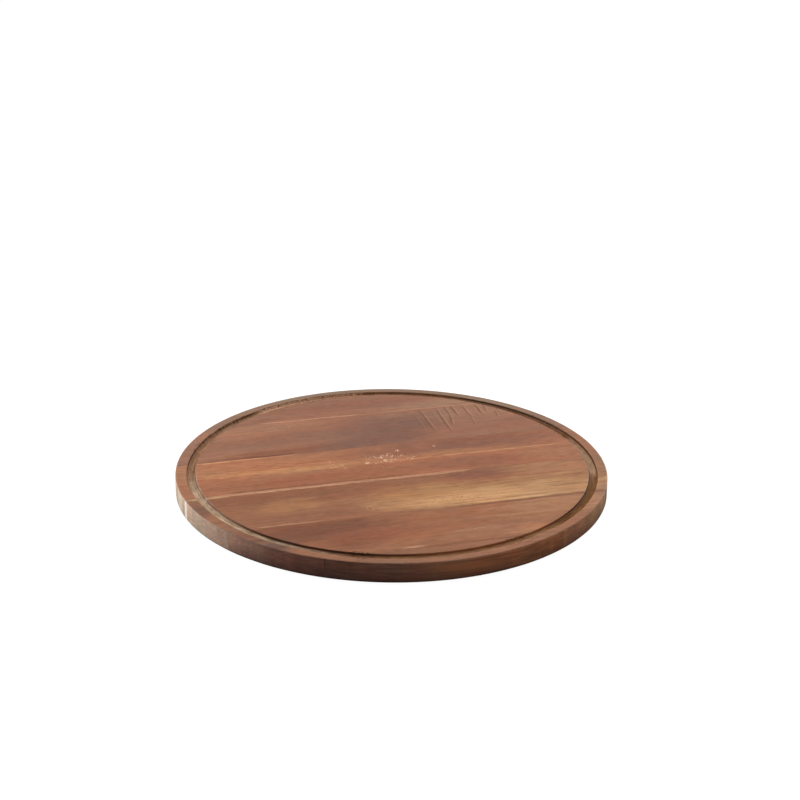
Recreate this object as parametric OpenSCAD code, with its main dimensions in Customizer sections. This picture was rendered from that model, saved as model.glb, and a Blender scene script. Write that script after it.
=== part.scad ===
// Round wooden cake plate.
// A thin disc cut from an edge-glued panel of six hardwood staves, with eased
// rims and one round-bottomed groove that runs near the edge of the top face.
// All sizes are in millimetres.
// Frame: +Z up, origin at the centre of the underside. The staves run along X
// and lie side by side along Y, from the back edge (+Y) to the front edge (-Y).

/* [Plate] */
// Outside diameter of the plate
plate_d = 320; // [300:1:360]
// Thickness of the plate
plate_t = 15; // [13:0.5:22]
// Radius of the eased edge round the top face
top_ease = 1.4; // [0.5:0.1:3]
// Radius of the eased edge round the underside
bottom_ease = 1.8; // [0.5:0.1:3]

/* [Groove] */
// Distance from the plate's outer edge to the middle of the groove
groove_inset = 10.6; // [8.5:0.1:25]
// Radius of the round cutter that made the groove, which is also its depth
groove_r = 3.2; // [2:0.1:4]
// Width of the small 45 degree chamfer on both lips of the groove
lip_ease = 0.4; // [0.2:0.1:1]

/* [Staves] */
// Width of the narrow stave at the front edge, at its widest
front_edge_w = 24.5; // [15:0.5:40]
// Width of the front stave
front_w = 56.5; // [45:0.5:62]
// Width of the stave just in front of the centre
front_centre_w = 59.5; // [45:0.5:62]
// Width of the stave over the centre
centre_w = 61; // [45:0.5:62]
// Width of the back stave
back_w = 63; // [45:0.5:64]
// Thickness of the glue film in each joint
glue_t = 0.12; // [0.08:0.01:0.3]

/* [Hidden] */
$fn = 180;

plate_r = plate_d / 2;
// Radius from the plate's centre to the middle of the groove
groove_mid_r = plate_r - groove_inset;
// Height of a slab that is sure to pass through the plate
slab_h = plate_t + 20;
// Length of a slab that is sure to pass through the plate
slab_l = plate_d + 40;

// Joint positions along Y, from the front edge to the back edge
joint_5 = -plate_r + front_edge_w;
joint_4 = joint_5 + front_w;
joint_3 = joint_4 + front_centre_w;
joint_2 = joint_3 + centre_w;
joint_1 = joint_2 + back_w;

// Half width of the groove between the outer ends of its chamfered lips
lip_x = groove_r + lip_ease;
// How far the chamfer's line runs on into the groove
lip_run = groove_r / 2;

// Colours of the staves, from the back edge to the front edge
back_edge_colour = [0.52, 0.34, 0.26];
back_colour = [0.49, 0.33, 0.26];
centre_colour = [0.60, 0.37, 0.26];
front_centre_colour = [0.60, 0.41, 0.27];
front_colour = [0.53, 0.33, 0.24];
front_edge_colour = [0.54, 0.35, 0.26];
glue_colour = [0.36, 0.23, 0.16];

// Half of the plate's section with both rims eased and no groove, in X (radius) and Y (height)
module plain_section() {
    difference() {
        square([plate_r, plate_t]);
        // waste outside the eased top rim
        difference() {
            translate([plate_r - top_ease, plate_t - top_ease]) square([top_ease + 1, top_ease + 1]);
            translate([plate_r - top_ease, plate_t - top_ease]) circle(r = top_ease);
        }
        // waste outside the eased bottom rim
        difference() {
            translate([plate_r - bottom_ease, -1]) square([bottom_ease + 1, bottom_ease + 1]);
            translate([plate_r - bottom_ease, bottom_ease]) circle(r = bottom_ease);
        }
    }
}

// What the cutter takes out of the section: the round groove with its two chamfered lips
module groove_section() {
    translate([groove_mid_r, plate_t]) {
        circle(r = groove_r);
        polygon([[-lip_x - 1, 1], [lip_x + 1, 1], [lip_x - lip_run, -lip_run], [lip_run - lip_x, -lip_run]]);
    }
}

// The whole turned plate, as if it were one piece
module turned_plate() {
    rotate_extrude()
        difference() {
            plain_section();
            groove_section();
        }
}

// The slice of the turned plate between two positions along Y
module slice(y_from, y_to) {
    intersection() {
        turned_plate();
        translate([-slab_l / 2, y_from, -10]) cube([slab_l, y_to - y_from, slab_h]);
    }
}

// One stave, from the glue film on its front side to the glue film on its back side
module stave(y_front, y_back) {
    slice(y_front + glue_t / 2, y_back - glue_t / 2);
}

// The cured glue film in one joint
module glue_line(y) {
    color(glue_colour) slice(y - glue_t / 2, y + glue_t / 2);
}

module back_edge_stave() { color(back_edge_colour) stave(joint_1, plate_r + 10); }
module back_stave() { color(back_colour) stave(joint_2, joint_1); }
module centre_stave() { color(centre_colour) stave(joint_3, joint_2); }
module front_centre_stave() { color(front_centre_colour) stave(joint_4, joint_3); }
module front_stave() { color(front_colour) stave(joint_5, joint_4); }
module front_edge_stave() { color(front_edge_colour) stave(-plate_r - 10, joint_5); }

back_edge_stave();
back_stave();
centre_stave();
front_centre_stave();
front_stave();
front_edge_stave();
glue_line(joint_1);  // glue_line_1
glue_line(joint_2);  // glue_line_2
glue_line(joint_3);  // glue_line_3
glue_line(joint_4);  // glue_line_4
glue_line(joint_5);  // glue_line_5
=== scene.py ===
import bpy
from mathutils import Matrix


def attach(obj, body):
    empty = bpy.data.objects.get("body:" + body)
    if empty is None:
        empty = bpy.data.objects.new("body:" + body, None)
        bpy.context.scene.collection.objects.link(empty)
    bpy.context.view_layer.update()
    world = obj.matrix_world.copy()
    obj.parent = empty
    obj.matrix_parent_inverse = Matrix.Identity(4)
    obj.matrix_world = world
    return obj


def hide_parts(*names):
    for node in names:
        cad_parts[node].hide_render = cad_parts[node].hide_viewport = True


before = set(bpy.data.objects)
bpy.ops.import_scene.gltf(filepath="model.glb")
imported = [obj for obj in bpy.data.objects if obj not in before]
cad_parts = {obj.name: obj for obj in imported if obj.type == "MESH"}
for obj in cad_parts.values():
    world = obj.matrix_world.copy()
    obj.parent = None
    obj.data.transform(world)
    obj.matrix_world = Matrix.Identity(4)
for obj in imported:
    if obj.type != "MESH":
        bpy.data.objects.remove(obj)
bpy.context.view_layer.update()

import math

import bmesh
import bpy
import numpy as np
from mathutils import Matrix, Vector, noise

# ---------------------------------------------------------------- sizes, in mm
MM = 0.001
R, T = 160.0, 15.0
TOP_EASE, BOTTOM_EASE = 0.8, 1.8
GROOVE_MID, GROOVE_R, LIP = 149.4, 3.2, 0.4
GLUE = 0.12
JOINTS = (104.5, 41.5, -19.5, -79.0, -135.5)
R_IN = 143.0  # inside this radius both faces are plain and flat
ALONG_RIM = 0.62  # spacing of the mesh along the rim
ALONG_GRAIN = 2.4  # spacing of the mesh along the staves

STAVES = (
    "back_edge_stave",
    "back_stave",
    "centre_stave",
    "front_centre_stave",
    "front_stave",
    "front_edge_stave",
)
SLOTS = (
    "back_edge_wood",
    "back_wood",
    "centre_wood",
    "front_centre_wood",
    "front_wood",
    "front_edge_wood",
)


# ---------------------------------------------------------------- the turned shape
def rim_profile():
    """(radius, height) from the flat top inside the groove, through the groove and round the rim, to the flat underside."""
    p = [(R_IN, T), (144.2, T), (145.2, T)]
    lip = [(3.62, 0.0), (3.53, 0.03), (3.43, 0.12), (3.32, 0.25), (3.24, 0.40)]
    arc = [math.radians(a) for a in np.linspace(11, 169, 27)]
    p += [(GROOVE_MID - x, T - z) for x, z in lip]
    p += [(GROOVE_MID - GROOVE_R * math.cos(a), T - GROOVE_R * math.sin(a)) for a in arc]
    p += [(GROOVE_MID + x, T - z) for x, z in reversed(lip)]
    p += [(r, T) for r in (153.9, 155.0, 156.1, 157.2, 158.3)]
    for a in np.radians(np.linspace(90, 0, 9)):
        p.append((R - TOP_EASE + TOP_EASE * math.cos(a), T - TOP_EASE + TOP_EASE * math.sin(a)))
    p += [(R, z) for z in np.linspace(T - TOP_EASE, BOTTOM_EASE, 12)[1:-1]]
    for a in np.radians(np.linspace(0, -90, 9)):
        p.append((R - BOTTOM_EASE + BOTTOM_EASE * math.cos(a), BOTTOM_EASE + BOTTOM_EASE * math.sin(a)))
    p += [(r, 0.0) for r in (156.8, 154.6, 152.0, 149.0, 146.0, R_IN)]
    return p


PROFILE = rim_profile()

# The groove runs a little further in on the left: how far, the place of that stretch and its reach
DRIFT, DRIFT_X, DRIFT_Y, DRIFT_REACH = 1.1, -140.0, 51.0, 153.0

# Where the cutter lifted the fibres: angle, spread in degrees, strength
TEAR_OUT = ((108, 26, 1.0), (142, 16, 0.8), (-115, 6, 1.0), (-69, 7, 0.8), (63, 8, 0.35), (18, 14, 0.6), (-43, 9, 0.5))


def worked(x, y, z):
    """A point of the exact shape, moved to where hand work and torn fibres leave it. Depends on the place alone, so staves and glue stay flush."""
    r = math.hypot(x, y)
    start_x, start_y, on_top = x, y, z > T - GROOVE_R - 0.2
    if on_top and abs(r - GROOVE_MID) < 4.6:
        turn = math.degrees(math.atan2(y, x))
        torn = 0.08
        for at, spread, strength in TEAR_OUT:
            off = (turn - at + 180) % 360 - 180
            torn += strength * math.exp(-((off / spread) ** 2))
        side = 1 if r > GROOVE_MID else -1
        lip = math.exp(-(((abs(r - GROOVE_MID) - 3.35) / 0.75) ** 2))
        chip = noise.noise(Vector((x / 1.9, y / 0.75, side * 7.0)))
        chip += 0.5 * noise.noise(Vector((x / 0.9, y / 0.5, 3.0 + side)))
        chip = max(0.0, chip - 0.12) * lip * min(torn, 1.1)
        z -= 0.75 * chip
        wander = 0.07 * noise.noise(Vector((x / 14, y / 14, 11.0 + side))) * (1 if z < T - 0.02 else lip)
        grow = 1 + (wander + side * 0.5 * chip) / r
        x, y = x * grow, y * grow
    if on_top and R_IN < r < 158.2:
        near = max(0.0, min(1.0, (1 - math.hypot(start_x - DRIFT_X, start_y - DRIFT_Y) / DRIFT_REACH) / 0.4))
        hold = min(1.0, (r - R_IN) / 2.2, (158.2 - r) / 4.7)
        x += DRIFT * near * near * (3 - 2 * near) * hold
    if r > R - TOP_EASE - 0.01:
        rub = 0.10 * (0.5 + noise.noise(Vector((x / 22, y / 22, z / 9))))
        grow = 1 - max(rub, 0.0) / r
        x, y = x * grow, y * grow
    if T - 0.01 < z or r < R_IN + 0.01 and z > 1:
        z += 0.022 * noise.noise(Vector((x / 46, y / 17, 4.0)))
    return x * MM, y * MM, max(z, 0.0) * MM


def slice_mesh(name, y0, y1, fine=True):
    """The part of the turned plate between two positions across the staves, as a closed mesh. An open side reaches past the rim."""
    verts, faces, seen = [], [], {}

    def at(x, y, z):
        key = (round(x, 4), round(y, 4), round(z, 4))
        if key not in seen:
            seen[key] = len(verts)
            verts.append(worked(x, y, z))
        return seen[key]

    def quad(a, b, c, d):
        ring = [v for n, v in enumerate((a, b, c, d)) if v not in (a, b, c, d)[:n]]
        if len(ring) > 2:
            faces.append(ring)

    def sheet(grid):
        for low, high in zip(grid, grid[1:]):
            for n in range(len(low) - 1):
                quad(low[n], low[n + 1], high[n + 1], high[n])

    last = len(PROFILE) - 1
    if y0 is not None and y1 is not None:
        span = R * (math.asin(y1 / R) - math.asin(y0 / R))
        rows = max(2, round(span / ALONG_RIM)) if fine else 1
        columns = round(2 * R / ALONG_GRAIN)
        sides = []
        for mirror in (1, -1):
            grid = []
            for j in range(rows + 1):
                line = []
                for r, z in PROFILE:
                    a = math.asin(y0 / r) + (math.asin(y1 / r) - math.asin(y0 / r)) * j / rows
                    line.append(at(mirror * r * math.cos(a), r * math.sin(a), z))
                grid.append(line)
            sheet(grid)
            for line in (grid[0], grid[-1]):
                faces.append(list(line))
            sides.append(grid)
        for z, end in ((T, 0), (0.0, last)):
            grid = []
            for j in range(rows + 1):
                a = math.asin(y0 / R_IN) + (math.asin(y1 / R_IN) - math.asin(y0 / R_IN)) * j / rows
                half, y = R_IN * math.cos(a), R_IN * math.sin(a)
                middle = [at(half * (2 * i / columns - 1), y, z) for i in range(1, columns)]
                grid.append([sides[1][j][end], *middle, sides[0][j][end]])
            sheet(grid)
            sides.append(grid)
        for j in (0, rows):
            sheet([sides[2][j], sides[3][j]])
    else:
        flip = 1 if y1 is None else -1
        chord = y0 if y1 is None else -y1
        columns = round(R * (math.pi - 2 * math.asin(chord / R)) / ALONG_RIM)
        rim = []
        for j in range(columns + 1):
            line = []
            for r, z in PROFILE:
                low = math.asin(chord / r)
                a = low + (math.pi - 2 * low) * j / columns
                line.append(at(r * math.cos(a), flip * r * math.sin(a), z))
            rim.append(line)
        sheet(rim)
        for line in (rim[0], rim[-1]):
            faces.append(list(line))
        rows = max(2, round((R_IN - chord) / 1.5))
        chords = []
        for z, end in ((T, 0), (0.0, last)):
            grid = []
            for j in range(columns + 1):
                low = math.asin(chord / R_IN)
                a = low + (math.pi - 2 * low) * j / columns
                x, top = R_IN * math.cos(a), R_IN * math.sin(a)
                if j in (0, columns):
                    grid.append([rim[j][end]] * (rows + 1))
                else:
                    line = [at(x, flip * (chord + (top - chord) * i / rows), z) for i in range(rows)]
                    grid.append([*line, rim[j][end]])
            sheet(grid)
            chords.append([line[0] for line in grid])
        sheet(chords)

    mesh = bpy.data.meshes.new(name)
    mesh.from_pydata(verts, [], faces)
    bm = bmesh.new()
    bm.from_mesh(mesh)
    bmesh.ops.triangulate(bm, faces=[f for f in bm.faces if len(f.verts) > 4], ngon_method="EAR_CLIP")
    bmesh.ops.recalc_face_normals(bm, faces=bm.faces[:])
    bm.to_mesh(mesh)
    bm.free()
    mesh.shade_smooth()
    mesh.set_sharp_from_angle(angle=math.radians(48))
    made = bpy.data.objects.new(name, mesh)
    bpy.context.scene.collection.objects.link(made)
    return made


# ---------------------------------------------------------------- node building
def linear(colour, gain=1.0):
    """A colour as seen on a screen, 0 to 255, as linear light."""
    c = [v / 255 for v in colour]
    c = [v / 12.92 if v <= 0.04045 else ((v + 0.055) / 1.055) ** 2.4 for v in c]
    return (c[0] * gain, c[1] * gain, c[2] * gain, 1.0)


class Shader:
    """One material. Its methods add nodes and return their output sockets; a plain number or colour goes straight onto an input."""

    def __init__(self, name):
        self.material = bpy.data.materials.new(name)
        self.material.use_nodes = True
        self.tree = self.material.node_tree
        self.tree.nodes.clear()

    def add(self, kind, **settings):
        node = self.tree.nodes.new(kind)
        for key, value in settings.items():
            setattr(node, key, value)
        return node

    def put(self, socket, value):
        if isinstance(value, bpy.types.NodeSocket):
            self.tree.links.new(value, socket)
        else:
            socket.default_value = value

    def math(self, operation, a, b=0.0, c=0.0, clamp=False):
        node = self.add("ShaderNodeMath", operation=operation, use_clamp=clamp)
        for socket, value in zip(node.inputs, (a, b, c)):
            self.put(socket, value)
        return node.outputs[0]

    def ramp(self, value, low, high, to_low=0.0, to_high=1.0, smooth=True):
        node = self.add("ShaderNodeMapRange", interpolation_type="SMOOTHSTEP" if smooth else "LINEAR", clamp=True)
        for socket, v in zip(node.inputs, (value, low, high, to_low, to_high)):
            self.put(socket, v)
        return node.outputs[0]

    def mix(self, factor, a, b, blend="MIX"):
        node = self.add("ShaderNodeMix", data_type="RGBA", blend_type=blend, clamp_factor=True)
        self.put(node.inputs[0], factor)
        self.put(node.inputs[6], a)
        self.put(node.inputs[7], b)
        return node.outputs[2]

    def stretch(self, vector, x, y, z, offset=(0.0, 0.0, 0.0)):
        node = self.add("ShaderNodeVectorMath", operation="MULTIPLY_ADD")
        self.put(node.inputs[0], vector)
        self.put(node.inputs[1], (x, y, z))
        self.put(node.inputs[2], offset)
        return node.outputs[0]

    def noise(self, vector, scale=1.0, detail=2.0, roughness=0.5, distortion=0.0, colour=False):
        node = self.add("ShaderNodeTexNoise", noise_dimensions="3D")
        self.put(node.inputs["Vector"], vector)
        for key, value in (("Scale", scale), ("Detail", detail), ("Roughness", roughness), ("Distortion", distortion)):
            self.put(node.inputs[key], value)
        return node.outputs["Color" if colour else "Fac"]

    def noise_1d(self, value, scale=1.0, detail=2.0, roughness=0.5):
        node = self.add("ShaderNodeTexNoise", noise_dimensions="1D")
        self.put(node.inputs["W"], value)
        for key, v in (("Scale", scale), ("Detail", detail), ("Roughness", roughness)):
            self.put(node.inputs[key], v)
        return node.outputs["Fac"]

    def parts(self, vector):
        node = self.add("ShaderNodeSeparateXYZ")
        self.put(node.inputs[0], vector)
        return node.outputs

    def join(self, x, y, z):
        node = self.add("ShaderNodeCombineXYZ")
        for socket, value in zip(node.inputs, (x, y, z)):
            self.put(socket, value)
        return node.outputs[0]

    def spot(self, vector, x, y, length, width, angle=0.0):
        """1 at a place in mm, falling to 0 at the edge of an ellipse of these half sizes. It runs right through the thickness."""
        mapped = self.add("ShaderNodeMapping", vector_type="TEXTURE")
        self.put(mapped.inputs["Vector"], vector)
        self.put(mapped.inputs["Location"], (x, y, 0.0))
        self.put(mapped.inputs["Rotation"], (0.0, 0.0, math.radians(angle)))
        self.put(mapped.inputs["Scale"], (length, width, 1.0))
        cone = self.add("ShaderNodeTexGradient", gradient_type="SPHERICAL")
        self.put(cone.inputs[0], mapped.outputs[0])
        return cone.outputs["Fac"]


# ---------------------------------------------------------------- wood
GAIN = (0.85, 0.802, 0.742)  # from colours as the photograph shows them on the top face to surface colours


def paint(colour):
    r, g, b, a = linear(colour)
    return (r * GAIN[0], g * GAIN[1], b * GAIN[2], a)


# Per stave: base colour, heart (across, up) in mm, ring width, weights of rings, streaks and dashes, slope of the
# grain, side tone at left and right (a painted sheen and light of the side lamps), more of it at the far ends and where
# that begins at the left, how far the side darkens downwards (painted shade), end colours at left and right (the left
# ones paler with a painted sheen), soft zones (x, y, half length, half width, turn, colour, strength) and strips along
# the grain (y, half width, x from, x to, colour, strength)
WOODS = {
    "back_edge_stave": dict(
        base=(151, 109, 90), heart=(150, -70), ring=3.4, weights=(0.30, 0.45, 0.75), slope=0.004,
        side=((1.0, 1.0, 1.1), (1.0, 1.0, 1.1)), shade=0.35,
        ends=((150, 110, 90), (146, 108, 88)),
        zones=[
            (70, 110, 90, 20, 2, (163, 126, 105), 0.8),
            (-74, 113, 44, 10, 0, (144, 101, 84), 0.7),
            (5, 124, 80, 16, 0, (147, 103, 87), 0.7),
            (-30, 112, 90, 12, 0, (156, 113, 94), 0.4),
        ],
        strips=[(106.0, 1.9, -84, 8, (192, 146, 122), 0.9), (105.7, 1.5, 0, 116, (184, 138, 116), 0.7)],
    ),
    "back_stave": dict(
        base=(154, 110, 90), heart=(40, 90), ring=3.8, weights=(0.30, 0.40, 0.6), slope=-0.01,
        side=((0.92, 0.96, 1.02), (1.0, 1.0, 1.05)), far=((1.18, 1.28, 1.36), (1.0, 1.0, 1.0)), far_from=(-151, -121), shade=0.3,
        ends=((196, 164, 141), (146, 108, 88)),
        zones=[
            (-85, 97, 80, 18, 4, (168, 122, 98), 0.7),
            (-66, 72, 70, 18, 6, (144, 103, 86), 0.7),
            (22, 74, 80, 42, 16, (134, 98, 86), 0.9),
            (34, 72, 40, 34, 24, (128, 95, 84), 0.6),
            (4, 52, 88, 15, 6, (132, 96, 84), 0.85),
            (100, 90, 60, 30, 0, (160, 122, 102), 0.7),
            (36, 97, 28, 10, 0, (158, 117, 97), 0.6),
            (-80, 47, 72, 9, 2, (140, 93, 73), 0.8),
            (104, 58, 66, 24, 0, (151, 106, 87), 0.7),
        ],
        strips=[(42.7, 1.3, -106, -60, (96, 62, 46), 0.75), (47.5, 1.2, -128, -92, (178, 126, 98), 0.5)],
    ),
    "centre_stave": dict(
        base=(166, 111, 84), heart=(20, -110), ring=4.6, weights=(0.35, 0.55, 1.0), slope=0.012,
        side=((1.20, 1.44, 1.66), (1.2, 1.2, 1.15)), shade=0.12,
        ends=((204, 178, 156), (160, 120, 92)), end_strips=[(-18.9, 0.9, (232, 216, 196), 0.7), (-6.0, 9.0, (216, 196, 172), 0.55)],
        zones=[
            (-108, 26, 95, 26, 0, (178, 124, 93), 0.9),
            (-75, 14, 100, 9, 0, (191, 138, 99), 0.9),
            (64, 30, 118, 21, 1, (139, 95, 79), 0.95),
            (-60, -8, 120, 13, 0, (157, 102, 77), 0.8),
            (66, -6, 60, 15, 0, (148, 99, 79), 0.8),
            (130, -2, 40, 22, 0, (165, 115, 88), 0.8),
            (60, 16, 60, 7, 0, (172, 122, 92), 0.6),
            (2, 13, 32, 9, 0, (178, 126, 99), 0.6),
            (36, 31, 22, 12, 0, (166, 108, 86), 0.5),
        ],
        strips=[
            (40.3, 1.5, -146, -84, (202, 150, 112), 0.8), (40.4, 1.2, -92, -58, (190, 138, 110), 0.6),
            (11.0, 1.5, 4, 146, (196, 144, 108), 0.75), (19.0, 1.0, -108, -52, (136, 86, 60), 0.5),
            (-18.8, 1.1, -146, 62, (206, 154, 124), 0.75), (-16.2, 1.5, -128, 22, (122, 76, 54), 0.5),
        ],
    ),
    "front_centre_stave": dict(
        base=(156, 107, 80), heart=(-20, 70), ring=4.2, weights=(0.35, 0.55, 0.9), slope=0.006,
        side=((1.86, 2.10, 2.68), (1.10, 1.07, 1.06)), shade=0.2,
        ends=((198, 166, 138), (164, 124, 94)), end_strips=[(-21.6, 2.0, (238, 222, 200), 0.8)],
        zones=[
            (-90, -30, 120, 20, 0, (142, 94, 71), 0.8),
            (-88, -48, 34, 16, 0, (174, 122, 86), 0.85),
            (-24, -52, 44, 14, 0, (166, 117, 87), 0.7),
            (-14, -65, 46, 13, 0, (184, 138, 101), 0.8),
            (66, -60, 128, 30, 0, (180, 133, 94), 0.82),
            (28, -50, 66, 16, -6, (182, 135, 94), 0.8),
            (62, -66, 116, 18, 1, (197, 153, 113), 0.9),
            (38, -65, 62, 11, 2, (212, 168, 126), 0.55),
            (62, -29, 40, 13, -4, (141, 94, 76), 0.95),
            (125, -32, 55, 22, 0, (174, 125, 93), 0.85),
            (-85, -71, 70, 10, 0, (147, 99, 77), 0.8),
            (-153, -44, 14, 14, 0, (126, 88, 73), 0.9),
        ],
        strips=[
            (-20.4, 1.5, -146, 56, (210, 158, 128), 0.85), (-21.2, 2.4, -161, -122, (206, 166, 124), 0.7),
            (-75.8, 1.5, 36, 104, (220, 176, 134), 0.7), (-73.6, 2.8, 90, 134, (206, 164, 126), 0.55), (-78.6, 1.2, 38, 150, (98, 62, 44), 0.5),
            (-72.4, 0.7, 64, 142, (150, 106, 74), 0.45), (-67.6, 0.6, 86, 146, (154, 110, 78), 0.35), (-62.0, 0.8, 16, 84, (224, 178, 130), 0.5),
            (-56.5, 0.7, 30, 70, (216, 168, 122), 0.45), (-42.0, 2.4, 106, 148, (192, 142, 104), 0.6),
            (-77.8, 1.2, -122, -68, (190, 144, 114), 0.6),
        ],
    ),
    "front_stave": dict(
        base=(161, 108, 80), heart=(-170, -60), ring=3.6, weights=(0.35, 0.50, 0.8), slope=-0.008,
        side=((1.50, 1.56, 2.00), (1.56, 1.68, 1.92)), far=((1.38, 1.62, 1.65), (1.12, 1.32, 1.26)), far_from=(-134, -112), shade=0.52, shade_tint=(50, 41, 56),
        ends=((176, 130, 106), (168, 120, 88)),
        zones=[
            (-86, -91, 80, 26, -2, (125, 80, 61), 0.9),
            (-58, -116, 36, 17, 0, (134, 85, 65), 0.75),
            (92, -94, 74, 26, 0, (174, 127, 95), 0.85),
            (40, -124, 70, 14, 0, (169, 118, 90), 0.6),
            (62, -126, 24, 11, 0, (184, 131, 98), 0.7),
            (-46, -106, 54, 16, 0, (148, 94, 72), 0.65),
            (-114, -110, 20, 16, 0, (124, 88, 75), 0.8),
        ],
        strips=[
            (-80.0, 1.2, 24, 150, (106, 68, 50), 0.5), (-134.0, 1.9, -32, -9, (200, 152, 122), 0.8),
            (-129.6, 1.3, 40, 66, (194, 140, 112), 0.6), (-117.0, 1.2, 8, 60, (184, 132, 102), 0.5),
        ],
    ),
    "front_edge_stave": dict(
        base=(155, 107, 82), heart=(-150, 80), ring=3.2, weights=(0.35, 0.50, 0.8), slope=0.01,
        side=((1.08, 1.20, 1.58), (1.78, 1.64, 1.48)), shade=0.52,
        ends=((160, 110, 84), (168, 116, 82)),
        zones=[(40, -142, 50, 10, 0, (163, 114, 89), 0.6), (-40, -146, 50, 10, 0, (150, 102, 78), 0.6)],
        strips=[(-136.2, 1.2, -30, 70, (112, 72, 54), 0.4)],
    ),
}

# Dark marks across the grain of the back stave: x, y, half length, turn, half width, strength
CROSS_MARKS = (
    (44.5, 80, 24, 1, 0.9, 0.35), (51.6, 82, 32, 0, 1.2, 0.8), (60, 86, 22, 1, 0.9, 0.35),
    (64.4, 79, 33, -2, 1.3, 0.95), (72.6, 96, 14, 0, 1.2, 0.85), (70.6, 78, 15, -9, 1.2, 0.8),
    (78.4, 96, 15, 0, 1.4, 1.0), (87.8, 92, 17, 0, 1.2, 0.85), (86.6, 72, 13, -3, 0.9, 0.5),
    (98.6, 93, 16, 0, 1.2, 1.0), (104, 95, 11, -3, 1.0, 0.85), (109.5, 82, 9, -10, 1.0, 0.8), (94, 88, 13, 0, 0.8, 0.5), (113, 88, 8, -6, 0.9, 0.6),
)

# Pale chips in the face of the centre stave: x, y, half length, half width, strength
CHIPS = (
    (-15.5, 11.4, 2.3, 2.6, 1.0), (-1.2, 12.6, 2.3, 3.0, 1.0), (12.7, 28.6, 1.9, 2.4, 0.9), (-7.2, 21.9, 1.3, 1.8, 0.6),
    (-2.9, 18.9, 1.6, 2.0, 0.7), (5.0, 17.8, 1.5, 2.0, 0.7), (1.9, 9.8, 1.3, 1.7, 0.55), (6.6, 20.6, 1.2, 1.8, 0.6),
    (6.4, 13.0, 1.5, 1.9, 0.65), (16.8, 12.7, 1.3, 1.7, 0.55), (19.4, 11.6, 1.4, 1.8, 0.6), (21.6, 14.4, 1.3, 1.6, 0.55),
    (17.8, 9.4, 1.1, 1.5, 0.45), (42.1, 30.0, 1.5, 2.2, 0.7), (-35.0, 11.7, 1.6, 2.1, 0.6), (4.0, 24.6, 1.4, 1.8, 0.5),
    (-34.0, 6.4, 1.2, 1.6, 0.45), (-42.1, 20.3, 1.2, 1.6, 0.4),
)


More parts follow.
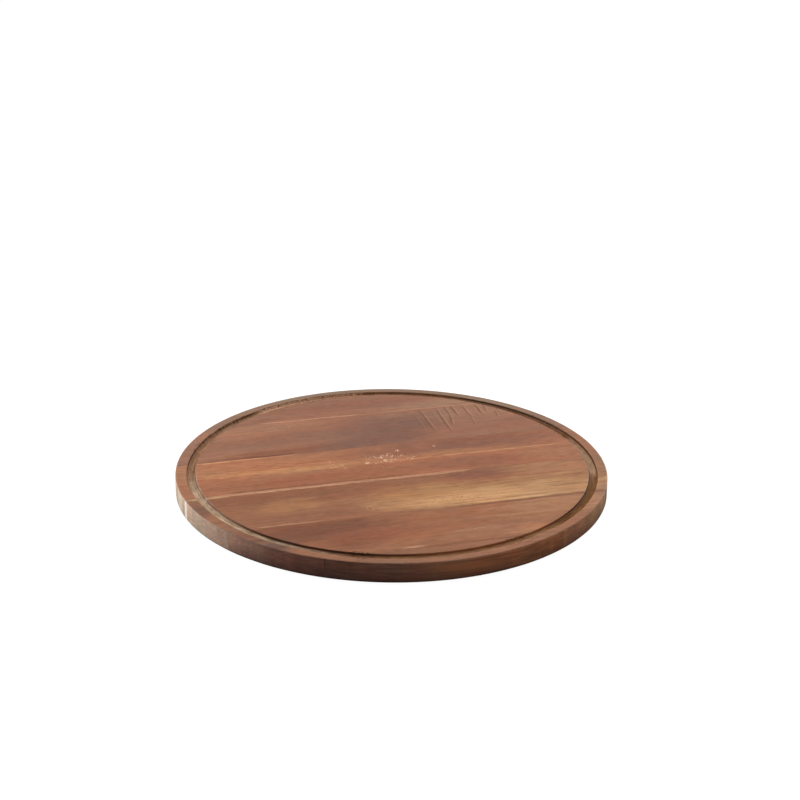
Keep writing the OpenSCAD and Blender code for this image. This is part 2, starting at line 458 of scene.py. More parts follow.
def wood(name, stave):
    kind = WOODS[stave]
    s = Shader(name)
    place = s.stretch(s.add("ShaderNodeTexCoord").outputs["Object"], 1000.0, 1000.0, 1000.0)
    index = STAVES.index(stave)
    seed = 37.0 * (index + 1)
    x, y, z = s.parts(place)
    flat = s.join(x, y, 0.0)
    reach = s.math("SQRT", s.math("ADD", s.math("MULTIPLY", x, x), s.math("MULTIPLY", y, y)))

    round_x, round_y = s.math("DIVIDE", x, reach), s.math("DIVIDE", y, reach)
    facing = s.parts(s.add("ShaderNodeNewGeometry").outputs["True Normal"])
    upright = s.ramp(s.math("ABSOLUTE", facing[2]), 0.2, 0.75, 1.0, 0.0)

    # the grain wanders: slow bends along the stave and small ones on top
    slow = s.parts(s.noise(s.stretch(place, 1 / 150, 1 / 55, 1 / 40, (seed, 0, 0)), 1.0, 2.0, 0.5, colour=True))
    quick = s.parts(s.noise(s.stretch(place, 1 / 30, 1 / 12, 1 / 12, (seed, 5, 0)), 1.0, 2.0, 0.5, colour=True))
    bend = s.math("MULTIPLY_ADD", slow[0], 11.0, -5.5)
    bend = s.math("ADD", bend, s.math("MULTIPLY_ADD", quick[0], 4.0, -2.0))
    across = s.math("ADD", y, s.math("MULTIPLY_ADD", x, kind["slope"], bend))
    lift = s.math("ADD", z, s.math("MULTIPLY_ADD", slow[1], 8.0, -4.0))
    along = s.math("ADD", x, s.math("MULTIPLY_ADD", slow[2], 40.0, -20.0))
    bent = s.join(along, across, lift)

    # growth rings round the heart
    dy = s.math("SUBTRACT", across, float(kind["heart"][0]))
    dz = s.math("SUBTRACT", lift, float(kind["heart"][1]))
    ring = s.math("SQRT", s.math("ADD", s.math("MULTIPLY", dy, dy), s.math("MULTIPLY", dz, dz)))
    ring = s.math("ADD", ring, seed)
    broad = s.noise_1d(ring, 1 / (2.2 * kind["ring"]), 2.0, 0.55)
    fine = s.noise_1d(ring, 1 / (0.42 * kind["ring"]), 3.0, 0.65)

    # fibres: streaks, short dashes, hair lines and open pores, all drawn out along the grain
    streak = s.noise(s.stretch(bent, 1 / 62, 1 / 3.4, 1 / 3.4, (seed, 1, 2)), 1.0, 3.0, 0.62, 0.25)
    dash = s.noise(s.stretch(bent, 1 / 10, 1 / 1.9, 1 / 1.9, (seed, 9, 5)), 1.0, 2.0, 0.6)
    fibre = s.noise(s.stretch(bent, 1 / 18, 1 / 0.62, 1 / 0.62, (seed, 3, 4)), 1.0, 3.0, 0.65)
    mottle = s.noise(s.stretch(bent, 1 / 17, 1 / 9, 1 / 9, (seed, 2, 9)), 1.0, 2.0, 0.55)
    pore = s.noise(s.stretch(bent, 1 / 8, 1 / 0.42, 1 / 0.42, (seed, 6, 7)), 1.0, 1.0, 0.4)
    pore = s.ramp(pore, 0.64, 0.72)

    # soft colour zones, their edges broken up by streaks and mottling
    drawn = s.join(along, across, 0.0)
    uneven = s.math("MULTIPLY_ADD", streak, 1.1, s.math("MULTIPLY_ADD", mottle, 0.7, -0.9))
    colour = paint(kind["base"])
    for zx, zy, length, width, turn, tint, strength in kind["zones"]:
        cone = s.spot(drawn, zx, zy, length, width, turn)
        support = s.math("MULTIPLY", cone, 2.5, clamp=True)
        mask = s.ramp(s.math("MULTIPLY_ADD", uneven, support, cone), 0.02, 0.70, 0.0, strength)
        colour = s.mix(mask, colour, paint(tint))

    # strips of other wood along the grain, ragged at their edges
    ragged = s.noise(s.stretch(place, 1 / 7, 1 / 4, 1 / 9, (seed, 4, 4)), 1.0, 3.0, 0.6)
    stray = s.math("MULTIPLY_ADD", ragged, 2.4, -1.2)
    keep = s.math("MULTIPLY_ADD", ragged, 2.2, -0.1, clamp=True)
    for at, half, start, stop, tint, strength in kind["strips"]:
        off = s.math("ABSOLUTE", s.math("ADD", s.math("SUBTRACT", y, at), s.math("MULTIPLY", stray, half * 0.7)))
        mask = s.math("MULTIPLY", s.ramp(off, half * 0.45, half, strength, 0.0), keep)
        mask = s.math("MULTIPLY", mask, s.ramp(x, start, start + 9))
        mask = s.math("MULTIPLY", mask, s.ramp(x, stop - 14, stop, 1.0, 0.0))
        colour = s.mix(mask, colour, paint(tint))

    # rings, streaks and dashes darken and lighten all that
    rings, streaks, dashes = kind["weights"]
    tone = s.math("MULTIPLY_ADD", broad, rings, s.math("MULTIPLY", fine, rings * 0.7))
    tone = s.math("ADD", tone, s.math("MULTIPLY_ADD", streak, streaks, s.math("MULTIPLY", mottle, 0.35)))
    tone = s.math("ADD", tone, s.math("MULTIPLY_ADD", dash, dashes, s.math("MULTIPLY", fibre, 0.5)))
    middle = 0.5 * (1.7 * rings + streaks + dashes + 0.85)
    tone = s.ramp(tone, middle - 0.75, middle + 0.75, smooth=False)
    calm = s.math("MULTIPLY", upright, 0.55)
    if stave == "front_centre_stave":
        calm = s.math("MAXIMUM", calm, s.ramp(s.spot(drawn, 50, -62, 100, 24, 2), 0.0, 0.5, 0.0, 0.35))
    tone = s.math("MULTIPLY_ADD", s.math("SUBTRACT", tone, 0.5), s.math("SUBTRACT", 1.0, calm), 0.5)
    colour = s.mix(1.0, colour, s.mix(tone, (0.52, 0.46, 0.42, 1), (1.48, 1.54, 1.58, 1)), "MULTIPLY")
    colour = s.mix(1.0, colour, s.mix(s.math("MULTIPLY_ADD", quick[2], 1.4, -0.2, clamp=True), (1.03, 0.988, 0.97, 1), (0.97, 1.012, 1.03, 1)), "MULTIPLY")
    blotch = s.noise(s.stretch(bent, 1 / 70, 1 / 15, 1 / 15, (seed, 12, 1)), 1.0, 1.0, 0.5)
    colour = s.mix(1.0, colour, s.mix(s.ramp(blotch, 0.3, 0.7), (1.035, 0.98, 0.955, 1), (0.965, 1.02, 1.035, 1)), "MULTIPLY")
    colour = s.mix(s.math("MULTIPLY", pore, s.math("MULTIPLY_ADD", calm, -0.5, 0.45)), colour, paint((74, 44, 34)))

    relief = None
    if stave == "back_stave":
        wobble = s.join(s.math("ADD", x, s.math("MULTIPLY_ADD", quick[1], 2.2, -1.1)), y, 0.0)
        marks, shine = 0.0, 0.0
        for mx, my, length, turn, half, strength in CROSS_MARKS:
            marks = s.math("MAXIMUM", marks, s.ramp(s.spot(wobble, mx, my, half, length, turn), 0.0, 0.55, 0.0, strength))
            shine = s.math("MAXIMUM", shine, s.ramp(s.spot(wobble, mx + 1.7, my, half, length, turn), 0.0, 0.6, 0.0, strength))
        colour = s.mix(s.math("MULTIPLY", shine, 0.22), colour, paint((206, 164, 136)))
        colour = s.mix(s.math("MULTIPLY", marks, 0.52), colour, paint((92, 64, 52)))
        relief = marks

    if stave == "centre_stave":
        speck = s.noise(s.stretch(flat, 1 / 1.1, 1 / 2.0, 1.0, (2, 9, 1)), 1.0, 2.0, 0.6)
        crumb = s.noise(s.stretch(flat, 1 / 0.9, 1 / 1.6, 1.0, (8, 4, 1)), 1.0, 2.0, 0.6)
        near = s.spot(flat, 0, 17, 62, 19, 4)
        core = s.math("MAXIMUM", s.spot(flat, 1, 17, 24, 15, 12), s.math("MULTIPLY", s.spot(flat, -38, 15, 14, 13, 0), 0.5))
        cluster = s.noise(s.stretch(flat, 1 / 9, 1 / 6, 1.0, (7, 3, 1)), 1.0, 1.0, 0.5)
        level = s.math("ADD", speck, s.math("ADD", s.math("MULTIPLY", near, 0.04), s.math("MULTIPLY", core, 0.16)))
        level = s.math("ADD", level, s.math("MULTIPLY_ADD", cluster, 0.5, -0.25))
        fleck = s.math("MULTIPLY", s.ramp(level, 0.72, 0.81), s.ramp(near, 0.0, 0.15))
        colour = s.mix(s.math("MULTIPLY", fleck, 0.6), colour, paint((244, 210, 186)))
        chip = 0.0
        for cx, cy, length, width, strength in CHIPS:
            chip = s.math("MAXIMUM", chip, s.ramp(s.spot(flat, cx, cy, length, width, 0), 0.0, 0.4, 0.0, strength))
        chip = s.math("MULTIPLY", chip, s.ramp(crumb, 0.42, 0.60))
        colour = s.mix(s.math("MULTIPLY", chip, 0.9), colour, paint((248, 212, 188)))

    if stave == "front_centre_stave":
        golden = s.ramp(s.spot(drawn, 50, -61, 120, 26, 2), 0.0, 0.5)
        line = s.noise(s.stretch(bent, 1 / 48, 1 / 1.7, 1 / 1.7, (seed, 4, 6)), 1.0, 2.0, 0.6)
        colour = s.mix(golden, colour, s.mix(s.ramp(line, 0.32, 0.68), (0.87, 0.85, 0.82, 1), (1.12, 1.13, 1.13, 1)), "MULTIPLY")
        knot = s.spot(s.join(s.math("ADD", x, s.math("MULTIPLY_ADD", ragged, 2.0, -1.0)), y, 0.0), -34.5, -67.0, 2.4, 5.0, 12)
        circle = s.math("MULTIPLY", s.ramp(knot, 0.0, 0.25), s.ramp(knot, 0.35, 0.6, 1.0, 0.0))
        colour = s.mix(s.math("MULTIPLY", circle, 0.3), colour, paint((206, 160, 118)))
        colour = s.mix(s.ramp(knot, 0.35, 0.8, 0.0, 0.4), colour, paint((110, 72, 48)))
        speck = s.noise(s.stretch(flat, 1 / 2.6, 1 / 1.9, 1.0, (5, 1, 1)), 1.0, 1.0, 0.5)
        near = s.spot(flat, 32, -67, 36, 9, 3)
        fleck = s.ramp(s.math("MULTIPLY_ADD", near, 0.14, speck), 0.69, 0.76)
        colour = s.mix(s.math("MULTIPLY", s.math("MULTIPLY", fleck, s.ramp(near, 0.0, 0.2)), 0.55), colour, paint((112, 74, 48)))

    # joint: a broken hair line of darker wood along each glued edge
    edge = 0.0
    for joint in ([JOINTS[index - 1]] if index else []) + ([JOINTS[index]] if index < 5 else []):
        off = s.math("ABSOLUTE", s.math("SUBTRACT", y, joint))
        edge = s.math("MAXIMUM", edge, s.ramp(off, 0.10, 0.75, 1.0, 0.0))
    broken = s.ramp(s.noise(s.stretch(place, 1 / 22, 1 / 3, 1 / 3, (seed, 8, 8)), 1.0, 2.0, 0.5), 0.36, 0.62)
    colour = s.mix(s.math("MULTIPLY", s.math("MULTIPLY", edge, broken), 0.35), colour, paint((84, 52, 40)))

    # sides: end grain at left and right, long grain at front and back
    end = s.math("MULTIPLY", s.ramp(s.math("ABSOLUTE", facing[0]), 0.3, 0.85), upright)
    vessel = s.noise(s.stretch(place, 1 / 5, 1 / 0.8, 1 / 0.8, (seed, 7, 1)), 1.0, 2.0, 0.6)
    # end colours: the left ends are paler, partly with a painted sheen of the left lamp
    left, right = kind["ends"]
    cut = s.mix(s.ramp(x, -40, 40), paint(left), paint(right))
    cut = s.mix(1.0, cut, s.mix(s.math("MULTIPLY_ADD", fine, 0.7, s.math("MULTIPLY_ADD", vessel, 0.8, -0.25), clamp=True),
                                (0.68, 0.64, 0.60, 1), (1.28, 1.30, 1.32, 1)), "MULTIPLY")
    patch = s.parts(s.noise(s.stretch(place, 1 / 20, 1 / 7, 1 / 30, (seed, 3, 8)), 1.0, 2.0, 0.5, colour=True))
    cut = s.mix(1.0, cut, s.mix(s.ramp(patch[0], 0.3, 0.7), (0.89, 0.91, 0.91, 1), (1.11, 1.09, 1.07, 1)), "MULTIPLY")
    cut = s.mix(1.0, cut, s.mix(s.ramp(patch[1], 0.35, 0.65), (1.035, 0.972, 0.995, 1), (0.97, 1.022, 0.975, 1)), "MULTIPLY")
    colour = s.mix(s.math("MULTIPLY", end, 0.72), colour, cut)
    # pale strips on the left ends: partly pale wood at the joints, partly a painted sheen of the left lamp
    for at, half, tint, strength in kind.get("end_strips", ()):
        off = s.math("ABSOLUTE", s.math("ADD", s.math("SUBTRACT", y, at), s.math("MULTIPLY_ADD", ragged, 0.8, -0.4)))
        mask = s.math("MULTIPLY", s.ramp(off, half * 0.5, half, strength, 0.0), s.ramp(x, -80, -60, 1.0, 0.0))
        colour = s.mix(s.math("MULTIPLY", mask, end), colour, paint(tint))
    layer = s.noise(s.stretch(bent, 1 / 52, 1 / 7, 1 / 1.7, (seed, 6, 3)), 1.0, 3.0, 0.6)
    layer = s.mix(s.ramp(layer, 0.3, 0.7), (0.77, 0.75, 0.73, 1), (1.23, 1.21, 1.18, 1))
    colour = s.mix(s.math("MULTIPLY", upright, s.math("SUBTRACT", 1.0, s.math("MULTIPLY", end, 0.6))), colour, layer, "MULTIPLY")
    band = s.parts(s.noise(s.join(s.math("MULTIPLY", round_x, 17.0), s.math("MULTIPLY", round_y, 17.0), s.math("MULTIPLY_ADD", z, 0.03, seed)), 1.0, 2.0, 0.55, colour=True))
    colour = s.mix(s.math("MULTIPLY", upright, s.math("MULTIPLY_ADD", end, 0.5, 0.5)), colour, s.mix(s.ramp(band[0], 0.3, 0.7), (0.86, 0.86, 0.87, 1), (1.14, 1.14, 1.13, 1)), "MULTIPLY")
    colour = s.mix(upright, colour, s.mix(s.ramp(band[1], 0.35, 0.65), (1.02, 0.98, 0.99, 1), (0.98, 1.02, 1.005, 1)), "MULTIPLY")
    # painted light on the sides: tone lifted and greyed towards the left and right ends where the side lamps and their
    # sheen fall, lifted further at the far ends
    side_sheen_left, side_sheen_right = kind["side"]
    colour = s.mix(upright, colour, s.mix(s.ramp(x, -80, 80), (*side_sheen_left, 1), (*side_sheen_right, 1)), "MULTIPLY")
    if "far" in kind:
        far_left, far_right = kind["far"]
        colour = s.mix(s.math("MULTIPLY", upright, s.ramp(x, *kind["far_from"], 1.0, 0.0)), colour, (*far_left, 1), "MULTIPLY")
        colour = s.mix(s.math("MULTIPLY", upright, s.ramp(x, 104, 132)), colour, (*far_right, 1), "MULTIPLY")
    # painted shade on the front stave's side towards the front left
    if stave == "front_stave":
        near = s.math("MULTIPLY", s.ramp(x, -110, -88), s.ramp(x, -40, 0, 1.0, 0.0))
        colour = s.mix(s.math("MULTIPLY", upright, near), colour, (0.84, 0.86, 0.90, 1), "MULTIPLY")
    # painted light on the lower left of the front edge stave's side
    if stave == "front_edge_stave":
        near = s.math("MULTIPLY", s.ramp(x, -80, -56, 1.0, 0.0), s.ramp(z, 5.0, 9.5, 1.0, 0.0))
        colour = s.mix(s.math("MULTIPLY", upright, near), colour, (1.18, 1.24, 1.42, 1), "MULTIPLY")
        glow = s.spot(s.join(s.math("ADD", x, s.math("MULTIPLY_ADD", z, 1.6, -15.0)), z, 0.0), 6, 8.5, 34, 5.5, 0)
        colour = s.mix(s.math("MULTIPLY", s.ramp(glow, 0.0, 0.8, 0.0, 0.6), upright), colour, paint((226, 150, 104)))
    # painted shade: the side darkens towards the floor
    outer = s.ramp(reach, R - 2.5, R - 1.0)
    colour = s.mix(s.math("MULTIPLY", s.ramp(z, 0.0, 13.0, kind["shade"], 0.0), outer), colour, paint(kind.get("shade_tint", (52, 37, 44))))
    # painted contact shadow along the bottom edge
    colour = s.mix(s.math("MULTIPLY", s.ramp(z, 0.3, 2.2, 0.85, 0.0), outer), colour, paint((18, 11, 8)))

    # the groove: upper walls painted dark as painted shade, with darker painted shade in places, a brown floor painted
    # paler at the left where the left lamp lights it and greyer in places with a painted sheen, torn fibres on its lips
    # at the back left whose pale paint also lifts the groove's shade there
    drawn_in = s.math("SUBTRACT", x, s.ramp(s.spot(flat, DRIFT_X, DRIFT_Y, DRIFT_REACH, DRIFT_REACH, 0), 0.0, 0.4, 0.0, DRIFT))
    ring_at = s.math("SQRT", s.math("ADD", s.math("MULTIPLY", drawn_in, drawn_in), s.math("MULTIPLY", y, y)))
    off_mid = s.math("ABSOLUTE", s.math("SUBTRACT", ring_at, GROOVE_MID))
    inside = s.ramp(off_mid, 3.3, 3.65, 1.0, 0.0)
    depth = s.math("SUBTRACT", T, z)
    grit = s.noise(s.stretch(place, 1 / 2.4, 1 / 1.3, 1 / 1.3, (seed, 2, 2)), 1.0, 3.0, 0.62)
    run = s.noise(s.join(s.math("MULTIPLY", round_x, 16.0), s.math("MULTIPLY", round_y, 16.0), s.math("MULTIPLY", s.math("ADD", reach, depth), 0.9)), 1.0, 3.0, 0.6)
    run = s.ramp(run, 0.28, 0.72)
    torn = s.ramp(s.spot(flat, -29, 146.3, 54, 32, 11), 0.0, 0.3)
    outward = s.ramp(ring_at, GROOVE_MID + 0.5, GROOVE_MID + 1.4)
    # painted light on the floor: paler at the left where the left lamp reaches it, greyer and paler in places with a
    # painted sheen
    pale = s.ramp(s.spot(flat, -135, -64, 112, 112, 0), 0.0, 0.5)
    groove_floor_sheen = s.math("MAXIMUM", s.ramp(s.spot(flat, 149, -14, 44, 44, 0), 0.0, 0.5), s.math("MULTIPLY", s.ramp(s.spot(flat, -124, 83, 64, 64, 0), 0.0, 0.5), 0.35))
    groove_floor_sheen = s.math("MAXIMUM", groove_floor_sheen, s.math("MULTIPLY", s.ramp(s.spot(flat, 50, 141, 84, 84, 0), 0.0, 0.5), 0.6))
    groove_floor_sheen = s.math("MAXIMUM", groove_floor_sheen, s.math("MULTIPLY", s.ramp(s.spot(flat, -82, 125, 46, 46, 0), 0.0, 0.5), 0.42))
    warm = s.ramp(s.spot(flat, 26, -147, 96, 96, 0), 0.0, 0.4)
    ground = s.mix(run, paint((100, 72, 47)), paint((152, 114, 82)))
    # painted shade on the floor at the back right
    shady = s.ramp(s.spot(flat, 122, 86, 80, 80, 0), 0.0, 0.5, 0.0, 0.7)
    ground = s.mix(shady, ground, s.mix(run, paint((78, 56, 36)), paint((118, 88, 62))))
    ground = s.mix(groove_floor_sheen, ground, s.mix(run, paint((150, 124, 100)), paint((200, 172, 146))))
    ground = s.mix(s.ramp(s.spot(flat, -130, 74, 42, 42, 0), 0.0, 0.5, 0.0, 0.5), ground, s.mix(run, paint((150, 112, 86)), paint((204, 158, 126))))
    ground = s.mix(warm, ground, s.mix(run, paint((150, 116, 84)), paint((204, 164, 126))))
    ground = s.mix(s.ramp(s.spot(flat, 116, -94, 56, 56, 0), 0.0, 0.5), ground, s.mix(run, paint((92, 62, 34)), paint((142, 102, 62))))
    ground = s.mix(pale, ground, s.mix(run, paint((160, 140, 116)), paint((234, 214, 192))))
    # torn fibres at the back left, painted nearly as pale as the top so that they also lift the groove's shade there
    ground = s.mix(s.math("MULTIPLY", s.math("MULTIPLY", torn, outward), 0.95), ground, paint((246, 202, 170)))
    # painted shade: the walls darker at the front left, the right and the back right
    deep = s.math("MAXIMUM", s.ramp(s.spot(flat, -92, -117, 61, 61, 0), 0.0, 0.4), s.ramp(s.spot(flat, 129, 75, 74, 74, 0), 0.0, 0.5))
    deep = s.math("MAXIMUM", deep, s.ramp(s.spot(flat, 146, 2, 40, 40, 0), 0.0, 0.5))
    side_wall = s.mix(run, paint((80, 53, 32)), paint((112, 78, 50)))
    side_wall = s.mix(s.ramp(s.spot(flat, 42, -144, 80, 80, 0), 0.0, 0.4), side_wall, s.mix(run, paint((116, 79, 47)), paint((156, 109, 69))))
    side_wall = s.mix(s.ramp(s.spot(flat, 34, 145, 80, 80, 0), 0.0, 0.5, 0.0, 0.7), side_wall, s.mix(run, paint((110, 80, 52)), paint((152, 112, 78))))
    side_wall = s.mix(deep, side_wall, s.mix(run, paint((40, 25, 13)), paint((64, 42, 24))))
    # pale paint where fibres were spared on the outer wall, which also lifts the wall's shade
    spared_and_lit = s.math("MULTIPLY", s.math("MULTIPLY", torn, outward), s.ramp(grit, 0.54, 0.68, 1.0, 0.1))
    spared_and_lit = s.math("MULTIPLY", spared_and_lit, s.ramp(depth, 0.25, 0.9, 0.45, 1.0))
    side_wall = s.mix(spared_and_lit, side_wall, paint((246, 202, 170)))
    # painted shade: the upper walls painted dark
    wall = s.math("MULTIPLY", s.ramp(depth, 0.03, 0.35), s.ramp(depth, 1.0, 2.1, 1.0, 0.0))
    # less of that painted shade on the inner wall at the left, where the left lamp lights it
    lit_inner_wall = s.math("MULTIPLY", s.ramp(s.spot(flat, -148, -16, 62, 62, 0), 0.0, 0.5), s.ramp(ring_at, GROOVE_MID - 0.5, GROOVE_MID + 0.5, 0.4, 0.0))
    groove = s.math("MULTIPLY", inside, s.ramp(depth, 0.1, 0.7))
    colour = s.mix(s.math("MULTIPLY", s.math("MULTIPLY", inside, s.ramp(depth, 1.2, 2.2)), 0.85), colour, ground)
    colour = s.mix(s.math("MULTIPLY", s.math("MULTIPLY", inside, wall), s.math("SUBTRACT", 0.9, lit_inner_wall)), colour, side_wall)
    # distance towards the back as seen from the camera
    rear = s.math("MULTIPLY_ADD", x, 0.2756, s.math("MULTIPLY", y, 0.9613))
    # painted shadow: dark lines just inside the lips, on the inner wall towards the front of the view and on the outer
    # wall across the middle, not where the fibres are torn
    lip_shadow = s.math("MULTIPLY", s.ramp(off_mid, 2.8, 3.05), s.ramp(off_mid, 3.2, 3.45, 1.0, 0.0))
    lip_shadow = s.math("MULTIPLY", lip_shadow, s.ramp(depth, 0.1, 0.3))
    within = s.math("MULTIPLY", s.ramp(rear, -118.0, -78.0), s.ramp(rear, -18.0, 12.0, 0.56, 0.0))
    without = s.math("MULTIPLY", s.ramp(rear, -62.0, -30.0), s.ramp(rear, 20.0, 80.0, 0.45, 0.0))
    without = s.math("MULTIPLY", without, s.math("SUBTRACT", 1.0, torn))
    lip_shadow = s.math("MULTIPLY", lip_shadow, s.mix(s.ramp(ring_at, GROOVE_MID - 1.0, GROOVE_MID + 1.0), within, without))
    colour = s.mix(lip_shadow, colour, paint((56, 33, 14)))
    lip = s.ramp(s.math("ABSOLUTE", s.math("SUBTRACT", off_mid, 4.0)), 0.6, 2.2, 1.0, 0.0)
    ragged_lip = s.math("MAXIMUM", torn, s.math("MULTIPLY", s.ramp(s.spot(flat, -121, 88, 60, 60, 0), 0.0, 0.5), 0.8))
    for px, py, size, strength in ((-61, -136, 11, 1.5), (53, -139, 20, 1.0), (142, 46, 44, 0.8), (108, -103, 24, 0.7)):
        ragged_lip = s.math("MAXIMUM", ragged_lip, s.ramp(s.spot(flat, px, py, size, size, 0), 0.0, 0.5, 0.0, strength))
    pick = s.ramp(s.math("MULTIPLY_ADD", ragged_lip, 0.15, grit), 0.68, 0.76)
    colour = s.mix(s.math("MULTIPLY", s.math("MULTIPLY", lip, pick), 0.75), colour, paint((62, 42, 32)))

    comb = s.noise(s.join(s.math("MULTIPLY", round_x, 140.0), s.math("MULTIPLY", round_y, 140.0), s.math("MULTIPLY", reach, 0.2)), 1.0, 1.0, 0.4)
    toothed = s.math("MAXIMUM", s.ramp(s.spot(flat, -110, 101, 52, 52, 0), 0.0, 0.4), s.ramp(s.spot(flat, 4, 149, 30, 30, 0), 0.0, 0.4, 0.0, 0.8))
    tooth = s.math("MULTIPLY", s.math("MULTIPLY", toothed, s.ramp(off_mid, 1.6, 2.4)), s.ramp(off_mid, 3.4, 4.3, 1.0, 0.0))
    tooth = s.math("MULTIPLY", tooth, s.ramp(ring_at, GROOVE_MID - 1.0, GROOVE_MID + 1.0, 0.4, 1.0))
    colour = s.mix(s.math("MULTIPLY", tooth, s.ramp(comb, 0.5, 0.62, 0.0, 0.5)), colour, paint((170, 124, 98)))
    colour = s.mix(s.math("MULTIPLY", tooth, s.ramp(comb, 0.4, 0.5, 0.45, 0.0)), colour, paint((58, 36, 22)))

    # the land outside the groove: greyer at the back with a painted sheen, paler where its edge is rubbed
    land = s.math("MULTIPLY", s.ramp(ring_at, 152.9, 153.6), s.ramp(z, T - 1.6, T - 0.9))
    colour = s.mix(land, colour, (0.975, 1.07, 1.15, 1), "MULTIPLY")
    for px, py, size, tint in ((-120, -96, 42, (0.86, 0.90, 0.98)), (154, -10, 48, (0.90, 0.95, 0.95)),
                               (36, -149, 52, (1.12, 1.10, 1.09)), (-56, 145, 58, (1.20, 1.13, 1.10))):
        colour = s.mix(s.math("MULTIPLY", land, s.ramp(s.spot(flat, px, py, size, size, 0), 0.0, 0.6)), colour, (*tint, 1), "MULTIPLY")
    # painted sheen: the land greyed towards the back of the view
    behind = s.ramp(rear, 50.0, 140.0)
    colour = s.mix(s.math("MULTIPLY", s.math("MULTIPLY", land, behind), 0.6), colour, s.mix(grit, paint((104, 94, 80)), paint((160, 146, 130))))
    rim = s.math("MULTIPLY", s.ramp(reach, R - 1.5, R - 0.7), s.ramp(z, T - 1.5, T - 0.8))
    colour = s.mix(s.math("MULTIPLY", rim, s.math("MULTIPLY", fibre, 0.14)), colour, paint((200, 160, 132)))

    rough = s.math("MULTIPLY_ADD", fibre, 0.16, 0.46)
    rough = s.math("ADD", rough, s.math("MULTIPLY", pore, 0.14))
    rough = s.math("ADD", rough, s.math("MAXIMUM", s.math("MULTIPLY", groove, 0.42), s.math("MULTIPLY", end, 0.2)), clamp=True)
    height = s.math("MULTIPLY_ADD", fibre, 0.5, s.math("MULTIPLY", fine, 0.3))
    height = s.math("SUBTRACT", height, s.math("MULTIPLY", pore, 0.7))
    height = s.math("ADD", height, s.math("MULTIPLY", s.math("MULTIPLY", groove, grit), 2.2))
    if relief:
        height = s.math("SUBTRACT", height, s.math("MULTIPLY", relief, 0.4))
    bump = s.add("ShaderNodeBump")
    s.put(bump.inputs["Strength"], 0.5)
    s.put(bump.inputs["Distance"], 0.00012)
    s.put(bump.inputs["Height"], height)

    shade = s.add("ShaderNodeBsdfPrincipled")
    s.put(shade.inputs["Base Color"], colour)
    s.put(shade.inputs["Roughness"], rough)
    s.put(shade.inputs["Specular IOR Level"], 0.12)
    s.put(shade.inputs["Normal"], bump.outputs[0])
    s.put(s.add("ShaderNodeOutputMaterial").inputs["Surface"], shade.outputs[0])
    return s.material


def glue_material():
    s = Shader("cured_glue")
    place = s.stretch(s.add("ShaderNodeTexCoord").outputs["Object"], 1000.0, 1000.0, 1000.0)
    patch = s.noise(s.stretch(place, 1 / 9, 1 / 2, 1 / 2), 1.0, 3.0, 0.6)
    grain = s.noise(s.stretch(place, 1 / 0.8, 1 / 0.5, 1 / 0.5), 1.0, 2.0, 0.5)
    colour = s.mix(s.ramp(patch, 0.35, 0.65), linear((78, 48, 36)), linear((128, 88, 64)))
    bump = s.add("ShaderNodeBump")
    s.put(bump.inputs["Strength"], 0.4)
    s.put(bump.inputs["Distance"], 0.00008)
    s.put(bump.inputs["Height"], grain)
    shade = s.add("ShaderNodeBsdfPrincipled")
    s.put(shade.inputs["Base Color"], colour)
    s.put(shade.inputs["Roughness"], s.math("MULTIPLY_ADD", grain, 0.25, 0.35))
    s.put(shade.inputs["Normal"], bump.outputs[0])
    s.put(s.add("ShaderNodeOutputMaterial").inputs["Surface"], shade.outputs[0])
    return s.material


# ---------------------------------------------------------------- pieces
for number, (stave, slot) in enumerate(zip(STAVES, SLOTS)):
    high = JOINTS[number - 1] - GLUE / 2 if number else None
    low = JOINTS[number] + GLUE / 2 if number < 5 else None
    piece = slice_mesh(stave + "_wood", low, high)
    piece.data.materials.append(wood(stave + "_wood", stave))
    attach(piece, "root")
    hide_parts(stave)

glue = glue_material()
for number, joint in enumerate(JOINTS, 1):
    piece = slice_mesh(f"glue_line_{number}_film", joint - GLUE / 2, joint + GLUE / 2, fine=False)
    piece.data.materials.append(glue)
    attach(piece, "root")
    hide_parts(f"glue_line_{number}")

# ---------------------------------------------------------------- floor, light and camera
bpy.ops.mesh.primitive_plane_add(size=8.0, location=(0.0, 0.0, 0.0))
floor = bpy.context.object
floor.name = "floor"
s = Shader("pale_floor")
soft = s.noise(s.stretch(s.add("ShaderNodeTexCoord").outputs["Object"], 3.0, 3.0, 3.0), 1.0, 3.0, 0.5)
shade = s.add("ShaderNodeBsdfDiffuse")
s.put(shade.inputs["Color"], s.mix(soft, (0.15, 0.15, 0.15, 1), (0.17, 0.17, 0.17, 1)))
glow = s.add("ShaderNodeEmission")
s.put(glow.inputs["Color"], (1, 1, 1, 1))
s.put(glow.inputs["Strength"], 0.95)
both = s.add("ShaderNodeAddShader")
s.put(both.inputs[0], shade.outputs[0])
s.put(both.inputs[1], glow.outputs[0])
s.put(s.add("ShaderNodeOutputMaterial").inputs["Surface"], both.outputs[0])
floor.data.materials.append(s.material)
floor.visible_diffuse = False
floor.visible_glossy = False

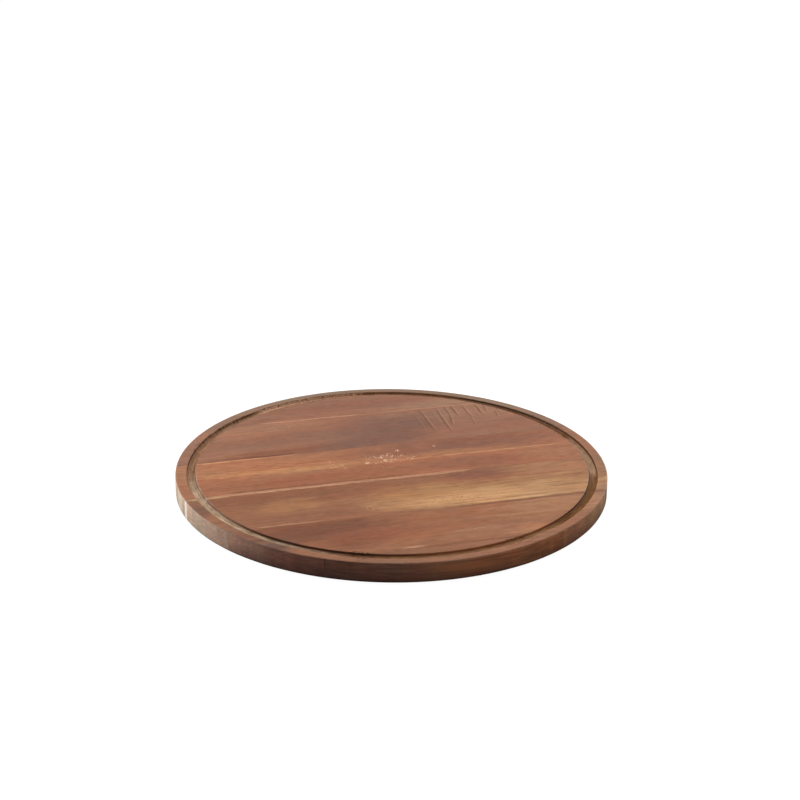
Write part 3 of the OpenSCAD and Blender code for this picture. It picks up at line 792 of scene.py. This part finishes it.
# a pale sweep that closes off the view beyond the floor; it neither lights nor shades the plate
sweep = [(0.6 * math.sin(a), 0.6 - 0.6 * math.cos(a)) for a in np.radians(np.linspace(0, 90, 10))] + [(0.6, 2.6)]
turns = 96
verts = [((3.2 + out) * math.cos(2 * math.pi * n / turns), (3.2 + out) * math.sin(2 * math.pi * n / turns), 0.002 + high)
         for out, high in sweep for n in range(turns)]
mesh = bpy.data.meshes.new("backdrop")
mesh.from_pydata([tuple(map(float, v)) for v in verts], [], [
    (k * turns + n, k * turns + (n + 1) % turns, (k + 1) * turns + (n + 1) % turns, (k + 1) * turns + n)
    for k in range(len(sweep) - 1) for n in range(turns)])
mesh.shade_smooth()
backdrop = bpy.data.objects.new("backdrop", mesh)
bpy.context.scene.collection.objects.link(backdrop)
s = Shader("pale_backdrop")
soft = s.noise(s.stretch(s.add("ShaderNodeTexCoord").outputs["Object"], 0.6, 0.6, 0.6), 1.0, 2.0, 0.5)
glow = s.add("ShaderNodeEmission")
s.put(glow.inputs["Color"], s.mix(soft, (0.98, 0.98, 0.98, 1), (1, 1, 1, 1)))
s.put(glow.inputs["Strength"], 1.0)
s.put(s.add("ShaderNodeOutputMaterial").inputs["Surface"], glow.outputs[0])
mesh.materials.append(s.material)
backdrop.visible_diffuse = False
backdrop.visible_glossy = False
backdrop.visible_transmission = False
backdrop.visible_shadow = False

world = bpy.data.worlds.new("studio")
bpy.context.scene.world = world
world.use_nodes = True
world.node_tree.nodes["Background"].inputs["Color"].default_value = (1.0, 0.98, 0.96, 1)
world.node_tree.nodes["Background"].inputs["Strength"].default_value = 0.16

# The photograph's camera: distance to the top face's centre, height angle, turn round the plate,
# tilt of the picture, where that centre falls in an 800 by 800 picture, and focal length in pixels
DISTANCE, RISE, TURN, ROLL = 1.4160, 23.674, -16.0, -0.571
CENTRE_X, CENTRE_Y, FOCAL = 391.58, 466.86, 1902.7


def turn_z(degrees):
    return Matrix.Rotation(math.radians(degrees), 3, "Z")


def aim(name, azimuth, elevation, distance, size, power, colour=(1, 1, 1), shape=None):
    """A soft lamp, placed by angles in the photograph's view: azimuth 0 is at the camera, 90 at its right, 180 behind the plate."""
    a, e = math.radians(azimuth), math.radians(elevation)
    place = turn_z(TURN) @ Vector((math.sin(a) * math.cos(e), -math.cos(a) * math.cos(e), math.sin(e))) * distance
    lamp = bpy.data.lights.new(name, "AREA")
    lamp.energy = power
    lamp.color = colour
    if shape:
        lamp.shape, lamp.size, lamp.size_y = "RECTANGLE", *shape
    else:
        lamp.size = size
    holder = bpy.data.objects.new(name, lamp)
    holder.location = place
    holder.rotation_euler = (-place).to_track_quat("-Z", "Y").to_euler()
    bpy.context.scene.collection.objects.link(holder)
    return holder


aim("overhead", 195, 70, 1.9, 1.6, 34.5, (1.0, 0.985, 0.96))
aim("left_window", -120, 9, 1.3, 0.7, 20.0, (1.0, 1.0, 0.98), (0.9, 0.36))
aim("right_window", 140, 9, 1.3, 0.7, 10.0, (1.0, 1.0, 0.98), (0.9, 0.36))
aim("right_fill", 60, 16, 1.6, 0.7, 2.6, (1.0, 0.95, 0.88), (0.8, 0.5))

lens = bpy.data.cameras.new("camera")
lens.sensor_fit = "HORIZONTAL"
lens.sensor_width = 36.0
lens.lens = FOCAL / 800 * 36.0
lens.clip_start, lens.clip_end = 0.05, 50.0
camera = bpy.data.objects.new("camera", lens)
bpy.context.scene.collection.objects.link(camera)
rise = math.radians(RISE)
back = Vector((0.0, -math.cos(rise), math.sin(rise)))
right = Vector((1.0, 0.0, 0.0))
ahead = -back
up = right.cross(ahead)
level = Matrix((right, up, ahead))
tilt = Matrix.Rotation(math.radians(ROLL), 3, "Z")
ray = Vector(((CENTRE_X - 400) / FOCAL, -(CENTRE_Y - 400) / FOCAL, 1.0)).normalized()
swing = Vector((0.0, 0.0, 1.0)).rotation_difference(ray).to_matrix()
axes = swing @ tilt @ level
base = Matrix((axes[0], axes[1], -axes[2])).transposed()
spot = Vector((0.0, 0.0, T * MM)) + turn_z(TURN) @ (back * DISTANCE)
camera.matrix_world = Matrix.Translation(spot) @ (turn_z(TURN) @ base).to_4x4()
bpy.context.scene.camera = camera

view = bpy.context.scene.view_settings
view.view_transform = "Standard"
view.look = "None"
view.exposure, view.gamma = 0.0, 1.0
